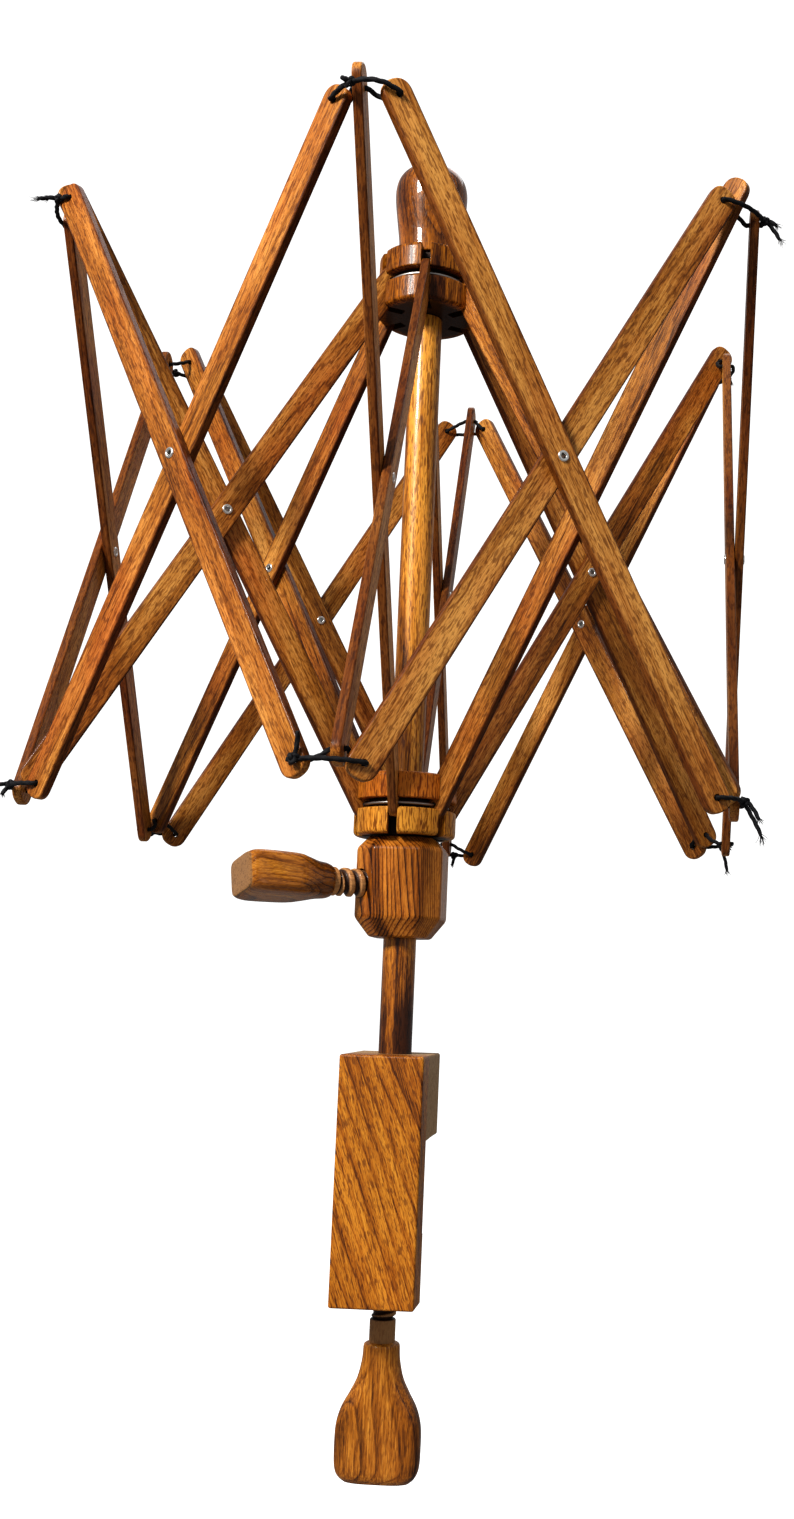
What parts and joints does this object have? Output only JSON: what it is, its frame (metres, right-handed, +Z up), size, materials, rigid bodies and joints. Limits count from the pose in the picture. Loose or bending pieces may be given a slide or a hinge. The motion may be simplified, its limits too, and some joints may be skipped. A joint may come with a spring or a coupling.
{
  "type": "umbrella yarn swift",
  "caption": "Clamp-on wooden umbrella yarn swift: crossed slats open into a turning cage that holds a skein, above a table clamp.",
  "frame": {"origin": "on the shaft's axis at the underside of the clamp block's upper jaw, the face that rests on the table top", "axes": "+Z up along the shaft, -Y is the block's plain front face, +X to the right seen from the front; one rib pair points along -Y"},
  "size_m": [0.3706, 0.4104, 0.702],
  "materials": {
    "wood_clamp_block": "stained and gloss varnished",
    "wood_shaft": "stained and gloss varnished",
    "wood_knob": "stained and gloss varnished",
    "wood_upper_hub": "stained and gloss varnished",
    "ring_wire": "drawn wire",
    "wood_rib_down_0": "stained and gloss varnished",
    "nickel": "bright tubular rivet",
    "wood_rib_up_0": "stained and gloss varnished",
    "black_cord": "waxed braided cord",
    "wood_outer_down_0": "stained and gloss varnished",
    "wood_outer_up_0": "stained and gloss varnished",
    "wood_rib_down_1": "stained and gloss varnished",
    "wood_rib_up_1": "stained and gloss varnished",
    "wood_outer_down_1": "stained and gloss varnished",
    "wood_outer_up_1": "stained and gloss varnished",
    "wood_rib_down_2": "stained and gloss varnished",
    "wood_rib_up_2": "stained and gloss varnished",
    "wood_outer_down_2": "stained and gloss varnished",
    "wood_outer_up_2": "stained and gloss varnished",
    "wood_rib_down_3": "stained and gloss varnished",
    "wood_rib_up_3": "stained and gloss varnished",
    "wood_outer_down_3": "stained and gloss varnished",
    "wood_outer_up_3": "stained and gloss varnished",
    "wood_rib_down_4": "stained and gloss varnished",
    "wood_rib_up_4": "stained and gloss varnished",
    "wood_outer_down_4": "stained and gloss varnished",
    "wood_outer_up_4": "stained and gloss varnished",
    "wood_rib_down_5": "stained and gloss varnished",
    "wood_rib_up_5": "stained and gloss varnished",
    "wood_outer_down_5": "stained and gloss varnished",
    "wood_outer_up_5": "stained and gloss varnished",
    "wood_lower_hub": "stained and gloss varnished",
    "wood_collar": "stained and gloss varnished",
    "wood_collar_screw": "stained and gloss varnished",
    "wood_clamp_pad": "stained and gloss varnished",
    "wood_clamp_screw": "stained and gloss varnished"
  },
  "bodies": {
    "frame": {"clamp_block": "wood_clamp_block", "shaft": "wood_shaft", "knob": "wood_knob"},
    "upper": {"upper_hub": "wood_upper_hub", "upper_hub_wire": "ring_wire"},
    "rib_down_0": {"rib_down_0": "wood_rib_down_0", "rib_rivet_0": "nickel"},
    "rib_up_0": {"rib_up_0": "wood_rib_up_0"},
    "high_corner_0": {"tie_high_0": "black_cord"},
    "low_corner_0": {"tie_low_0": "black_cord"},
    "outer_down_0": {"outer_down_0": "wood_outer_down_0", "outer_rivet_0": "nickel"},
    "outer_up_0": {"outer_up_0": "wood_outer_up_0"},
    "rib_down_1": {"rib_down_1": "wood_rib_down_1", "rib_rivet_1": "nickel"},
    "rib_up_1": {"rib_up_1": "wood_rib_up_1"},
    "high_corner_1": {"tie_high_1": "black_cord"},
    "low_corner_1": {"tie_low_1": "black_cord"},
    "outer_down_1": {"outer_down_1": "wood_outer_down_1", "outer_rivet_1": "nickel"},
    "outer_up_1": {"outer_up_1": "wood_outer_up_1"},
    "rib_down_2": {"rib_down_2": "wood_rib_down_2", "rib_rivet_2": "nickel"},
    "rib_up_2": {"rib_up_2": "wood_rib_up_2"},
    "high_corner_2": {"tie_high_2": "black_cord"},
    "low_corner_2": {"tie_low_2": "black_cord"},
    "outer_down_2": {"outer_down_2": "wood_outer_down_2", "outer_rivet_2": "nickel"},
    "outer_up_2": {"outer_up_2": "wood_outer_up_2"},
    "rib_down_3": {"rib_down_3": "wood_rib_down_3", "rib_rivet_3": "nickel"},
    "rib_up_3": {"rib_up_3": "wood_rib_up_3"},
    "high_corner_3": {"tie_high_3": "black_cord"},
    "low_corner_3": {"tie_low_3": "black_cord"},
    "outer_down_3": {"outer_down_3": "wood_outer_down_3", "outer_rivet_3": "nickel"},
    "outer_up_3": {"outer_up_3": "wood_outer_up_3"},
    "rib_down_4": {"rib_down_4": "wood_rib_down_4", "rib_rivet_4": "nickel"},
    "rib_up_4": {"rib_up_4": "wood_rib_up_4"},
    "high_corner_4": {"tie_high_4": "black_cord"},
    "low_corner_4": {"tie_low_4": "black_cord"},
    "outer_down_4": {"outer_down_4": "wood_outer_down_4", "outer_rivet_4": "nickel"},
    "outer_up_4": {"outer_up_4": "wood_outer_up_4"},
    "rib_down_5": {"rib_down_5": "wood_rib_down_5", "rib_rivet_5": "nickel"},
    "rib_up_5": {"rib_up_5": "wood_rib_up_5"},
    "high_corner_5": {"tie_high_5": "black_cord"},
    "low_corner_5": {"tie_low_5": "black_cord"},
    "outer_down_5": {"outer_down_5": "wood_outer_down_5", "outer_rivet_5": "nickel"},
    "outer_up_5": {"outer_up_5": "wood_outer_up_5"},
    "lower": {"lower_hub": "wood_lower_hub", "lower_hub_wire": "ring_wire"},
    "collar": {"collar": "wood_collar"},
    "collar_screw": {"collar_screw": "wood_collar_screw"},
    "clamp_pad": {"clamp_pad": "wood_clamp_pad"},
    "clamp_screw": {"clamp_screw": "wood_clamp_screw"}
  },
  "joints": [
    {"name": "spin", "type": "hinge", "parent": "frame", "child": "upper", "pos_m": [0, 0, 0.4585], "axis": [0, 0, 1], "continuous": true},
    {"name": "fold", "type": "hinge", "parent": "upper", "child": "rib_down_0", "pos_m": [0, -0.022, 0.4585], "axis": [1, 0, 0], "range_deg": [-44, 23]},
    {"name": "rib_0_rivet", "type": "hinge", "parent": "rib_down_0", "child": "rib_up_0", "pos_m": [0, -0.10475, 0.31517], "axis": [1, 0, 0], "range_deg": [-46.5, 88.5]},
    {"name": "high_0_tie", "type": "hinge", "parent": "rib_up_0", "child": "high_corner_0", "pos_m": [0, -0.1875, 0.4585], "axis": [1, 0, 0], "range_deg": [-44.5, 23.5]},
    {"name": "low_0_tie", "type": "hinge", "parent": "rib_down_0", "child": "low_corner_0", "pos_m": [0, -0.1875, 0.17185], "axis": [1, 0, 0], "range_deg": [-23.5, 44.5]},
    {"name": "outer_down_0_pivot", "type": "hinge", "parent": "high_corner_0", "child": "outer_down_0", "pos_m": [0.01488, -0.19127, 0.4525], "axis": [0.5, -0.866, 0], "range_deg": [-23.5, 44.5]},
    {"name": "outer_up_0_pivot", "type": "hinge", "parent": "low_corner_0", "child": "outer_up_0", "pos_m": [0.01248, -0.18711, 0.16585], "axis": [0.5, -0.866, 0], "range_deg": [-44.5, 23.5]},
    {"name": "rib_1_pivot", "type": "hinge", "parent": "upper", "child": "rib_down_1", "pos_m": [0.01905, -0.011, 0.4585], "axis": [0.5, 0.866, 0], "range_deg": [-44.5, 23.5]},
    {"name": "rib_1_rivet", "type": "hinge", "parent": "rib_down_1", "child": "rib_up_1", "pos_m": [0.09072, -0.05237, 0.31517], "axis": [0.5, 0.866, 0], "range_deg": [-46.5, 88.5]},
    {"name": "high_1_tie", "type": "hinge", "parent": "rib_up_1", "child": "high_corner_1", "pos_m": [0.16238, -0.09375, 0.4585], "axis": [0.5, 0.866, 0], "range_deg": [-44.5, 23.5]},
    {"name": "low_1_tie", "type": "hinge", "parent": "rib_down_1", "child": "low_corner_1", "pos_m": [0.16238, -0.09375, 0.17185], "axis": [0.5, 0.866, 0], "range_deg": [-23.5, 44.5]},
    {"name": "outer_down_1_pivot", "type": "hinge", "parent": "high_corner_1", "child": "outer_down_1", "pos_m": [0.17308, -0.08275, 0.4525], "axis": [1, 0, 0], "range_deg": [-23.5, 44.5]},
    {"name": "outer_up_1_pivot", "type": "hinge", "parent": "low_corner_1", "child": "outer_up_1", "pos_m": [0.16828, -0.08275, 0.16585], "axis": [1, 0, 0], "range_deg": [-44.5, 23.5]},
    {"name": "rib_2_pivot", "type": "hinge", "parent": "upper", "child": "rib_down_2", "pos_m": [0.01905, 0.011, 0.4585], "axis": [-0.5, 0.866, 0], "range_deg": [-44.5, 23.5]},
    {"name": "rib_2_rivet", "type": "hinge", "parent": "rib_down_2", "child": "rib_up_2", "pos_m": [0.09072, 0.05237, 0.31517], "axis": [-0.5, 0.866, 0], "range_deg": [-46.5, 88.5]},
    {"name": "high_2_tie", "type": "hinge", "parent": "rib_up_2", "child": "high_corner_2", "pos_m": [0.16238, 0.09375, 0.4585], "axis": [-0.5, 0.866, 0], "range_deg": [-44.5, 23.5]},
    {"name": "low_2_tie", "type": "hinge", "parent": "rib_down_2", "child": "low_corner_2", "pos_m": [0.16238, 0.09375, 0.17185], "axis": [-0.5, 0.866, 0], "range_deg": [-23.5, 44.5]},
    {"name": "outer_down_2_pivot", "type": "hinge", "parent": "high_corner_2", "child": "outer_down_2", "pos_m": [0.1582, 0.10852, 0.4525], "axis": [0.5, 0.866, 0], "range_deg": [-23.5, 44.5]},
    {"name": "outer_up_2_pivot", "type": "hinge", "parent": "low_corner_2", "child": "outer_up_2", "pos_m": [0.1558, 0.10436, 0.16585], "axis": [0.5, 0.866, 0], "range_deg": [-44.5, 23.5]},
    {"name": "rib_3_pivot", "type": "hinge", "parent": "upper", "child": "rib_down_3", "pos_m": [0, 0.022, 0.4585], "axis": [-1, 0, 0], "range_deg": [-44.5, 23.5]},
    {"name": "rib_3_rivet", "type": "hinge", "parent": "rib_down_3", "child": "rib_up_3", "pos_m": [0, 0.10475, 0.31517], "axis": [-1, 0, 0], "range_deg": [-46.5, 88.5]},
    {"name": "high_3_tie", "type": "hinge", "parent": "rib_up_3", "child": "high_corner_3", "pos_m": [0, 0.1875, 0.4585], "axis": [-1, 0, 0], "range_deg": [-44.5, 23.5]},
    {"name": "low_3_tie", "type": "hinge", "parent": "rib_down_3", "child": "low_corner_3", "pos_m": [0, 0.1875, 0.17185], "axis": [-1, 0, 0], "range_deg": [-23.5, 44.5]},
    {"name": "outer_down_3_pivot", "type": "hinge", "parent": "high_corner_3", "child": "outer_down_3", "pos_m": [-0.01488, 0.19127, 0.4525], "axis": [-0.5, 0.866, 0], "range_deg": [-23.5, 44.5]},
    {"name": "outer_up_3_pivot", "type": "hinge", "parent": "low_corner_3", "child": "outer_up_3", "pos_m": [-0.01248, 0.18711, 0.16585], "axis": [-0.5, 0.866, 0], "range_deg": [-44.5, 23.5]},
    {"name": "rib_4_pivot", "type": "hinge", "parent": "upper", "child": "rib_down_4", "pos_m": [-0.01905, 0.011, 0.4585], "axis": [-0.5, -0.866, 0], "range_deg": [-44.5, 23.5]},
    {"name": "rib_4_rivet", "type": "hinge", "parent": "rib_down_4", "child": "rib_up_4", "pos_m": [-0.09072, 0.05237, 0.31517], "axis": [-0.5, -0.866, 0], "range_deg": [-46.5, 88.5]},
    {"name": "high_4_tie", "type": "hinge", "parent": "rib_up_4", "child": "high_corner_4", "pos_m": [-0.16238, 0.09375, 0.4585], "axis": [-0.5, -0.866, 0], "range_deg": [-44.5, 23.5]},
    {"name": "low_4_tie", "type": "hinge", "parent": "rib_down_4", "child": "low_corner_4", "pos_m": [-0.16238, 0.09375, 0.17185], "axis": [-0.5, -0.866, 0], "range_deg": [-23.5, 44.5]},
    {"name": "outer_down_4_pivot", "type": "hinge", "parent": "high_corner_4", "child": "outer_down_4", "pos_m": [-0.17308, 0.08275, 0.4525], "axis": [-1, 0, 0], "range_deg": [-23.5, 44.5]},
    {"name": "outer_up_4_pivot", "type": "hinge", "parent": "low_corner_4", "child": "outer_up_4", "pos_m": [-0.16828, 0.08275, 0.16585], "axis": [-1, 0, 0], "range_deg": [-44.5, 23.5]},
    {"name": "rib_5_pivot", "type": "hinge", "parent": "upper", "child": "rib_down_5", "pos_m": [-0.01905, -0.011, 0.4585], "axis": [0.5, -0.866, 0], "range_deg": [-44.5, 23.5]},
    {"name": "rib_5_rivet", "type": "hinge", "parent": "rib_down_5", "child": "rib_up_5", "pos_m": [-0.09072, -0.05237, 0.31517], "axis": [0.5, -0.866, 0], "range_deg": [-46.5, 88.5]},
    {"name": "high_5_tie", "type": "hinge", "parent": "rib_up_5", "child": "high_corner_5", "pos_m": [-0.16238, -0.09375, 0.4585], "axis": [0.5, -0.866, 0], "range_deg": [-44.5, 23.5]},
    {"name": "low_5_tie", "type": "hinge", "parent": "rib_down_5", "child": "low_corner_5", "pos_m": [-0.16238, -0.09375, 0.17185], "axis": [0.5, -0.866, 0], "range_deg": [-23.5, 44.5]},
    {"name": "outer_down_5_pivot", "type": "hinge", "parent": "high_corner_5", "child": "outer_down_5", "pos_m": [-0.1582, -0.10852, 0.4525], "axis": [-0.5, -0.866, 0], "range_deg": [-23.5, 44.5]},
    {"name": "outer_up_5_pivot", "type": "hinge", "parent": "low_corner_5", "child": "outer_up_5", "pos_m": [-0.1558, -0.10436, 0.16585], "axis": [-0.5, -0.866, 0], "range_deg": [-44.5, 23.5]},
    {"name": "lower_hub_pivot", "type": "hinge", "parent": "rib_up_0", "child": "lower", "pos_m": [0, -0.022, 0.17185], "axis": [1, 0, 0], "range_deg": [-44.5, 23.5]},
    {"name": "collar_stays", "type": "hinge", "parent": "lower", "child": "collar", "pos_m": [0, 0, 0.13565], "axis": [0, 0, 1], "continuous": true},
    {"name": "collar_screw_turn", "type": "hinge", "parent": "collar", "child": "collar_screw", "pos_m": [0, 0, 0.13], "axis": [-0.788, -0.6157, 0], "range_deg": [-90, 360]},
    {"name": "clamp_travel", "type": "slide", "parent": "frame", "child": "clamp_pad", "axis": [0, 0, 1], "range_m": [-0.0089, 0.0212]},
    {"name": "clamp_turn", "type": "hinge", "parent": "clamp_pad", "child": "clamp_screw", "pos_m": [-0.0018, 0.009, -0.03], "axis": [0, 0, 1], "range_deg": [-570, 1360]}
  ],
  "couplings": [
    {"joint": "rib_0_rivet", "follows": "fold", "ratio": -2},
    {"joint": "high_0_tie", "follows": "fold", "ratio": 1},
    {"joint": "low_0_tie", "follows": "fold", "ratio": -1},
    {"joint": "outer_down_0_pivot", "follows": "fold", "ratio": -1},
    {"joint": "outer_up_0_pivot", "follows": "fold", "ratio": 1},
    {"joint": "rib_1_pivot", "follows": "fold", "ratio": 1},
    {"joint": "rib_1_rivet", "follows": "fold", "ratio": -2},
    {"joint": "high_1_tie", "follows": "fold", "ratio": 1},
    {"joint": "low_1_tie", "follows": "fold", "ratio": -1},
    {"joint": "outer_down_1_pivot", "follows": "fold", "ratio": -1},
    {"joint": "outer_up_1_pivot", "follows": "fold", "ratio": 1},
    {"joint": "rib_2_pivot", "follows": "fold", "ratio": 1},
    {"joint": "rib_2_rivet", "follows": "fold", "ratio": -2},
    {"joint": "high_2_tie", "follows": "fold", "ratio": 1},
    {"joint": "low_2_tie", "follows": "fold", "ratio": -1},
    {"joint": "outer_down_2_pivot", "follows": "fold", "ratio": -1},
    {"joint": "outer_up_2_pivot", "follows": "fold", "ratio": 1},
    {"joint": "rib_3_pivot", "follows": "fold", "ratio": 1},
    {"joint": "rib_3_rivet", "follows": "fold", "ratio": -2},
    {"joint": "high_3_tie", "follows": "fold", "ratio": 1},
    {"joint": "low_3_tie", "follows": "fold", "ratio": -1},
    {"joint": "outer_down_3_pivot", "follows": "fold", "ratio": -1},
    {"joint": "outer_up_3_pivot", "follows": "fold", "ratio": 1},
    {"joint": "rib_4_pivot", "follows": "fold", "ratio": 1},
    {"joint": "rib_4_rivet", "follows": "fold", "ratio": -2},
    {"joint": "high_4_tie", "follows": "fold", "ratio": 1},
    {"joint": "low_4_tie", "follows": "fold", "ratio": -1},
    {"joint": "outer_down_4_pivot", "follows": "fold", "ratio": -1},
    {"joint": "outer_up_4_pivot", "follows": "fold", "ratio": 1},
    {"joint": "rib_5_pivot", "follows": "fold", "ratio": 1},
    {"joint": "rib_5_rivet", "follows": "fold", "ratio": -2},
    {"joint": "high_5_tie", "follows": "fold", "ratio": 1},
    {"joint": "low_5_tie", "follows": "fold", "ratio": -1},
    {"joint": "outer_down_5_pivot", "follows": "fold", "ratio": -1},
    {"joint": "outer_up_5_pivot", "follows": "fold", "ratio": 1},
    {"joint": "lower_hub_pivot", "follows": "fold", "ratio": 1},
    {"joint": "collar_stays", "follows": "spin", "ratio": -1},
    {"joint": "clamp_travel", "follows": "clamp_turn", "m_per_rad": 0.00087535}
  ]
}
